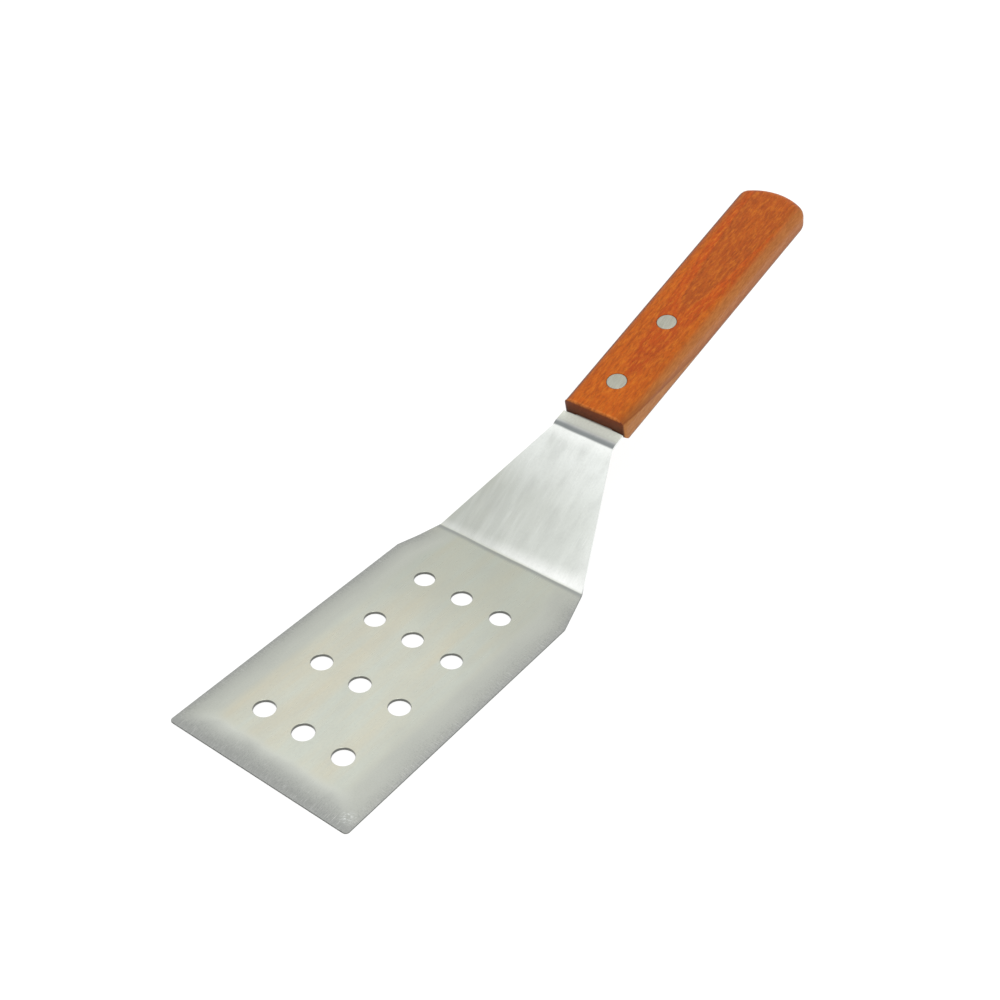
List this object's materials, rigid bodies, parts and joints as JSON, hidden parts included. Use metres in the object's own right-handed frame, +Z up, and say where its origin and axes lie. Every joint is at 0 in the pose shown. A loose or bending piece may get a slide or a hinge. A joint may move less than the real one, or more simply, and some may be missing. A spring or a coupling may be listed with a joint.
{
  "type": "grill spatula",
  "caption": "Perforated steel turner blade with a cranked neck and a riveted wooden handle for lifting food off a grill.",
  "frame": {"origin": "on the blade's underside, on the centre line, midway between the second and third rows of drain holes", "axes": "+X across the blade, +Y from the blade's front edge towards the handle, +Z up, out of the blade's food side"},
  "size_m": [0.0762, 0.3226, 0.0798],
  "materials": {
    "blade_steel": "fine brushed stainless, ground edges",
    "handle_wood": "red-brown stained wood, satin",
    "rivet_metal": "flush ground, satin"
  },
  "bodies": {
    "root": {"blade": "blade_steel", "handle": "handle_wood", "rivet_front_post": "rivet_metal", "rivet_front_sleeve": "rivet_metal", "rivet_rear_post": "rivet_metal", "rivet_rear_sleeve": "rivet_metal"}
  },
  "joints": []
}
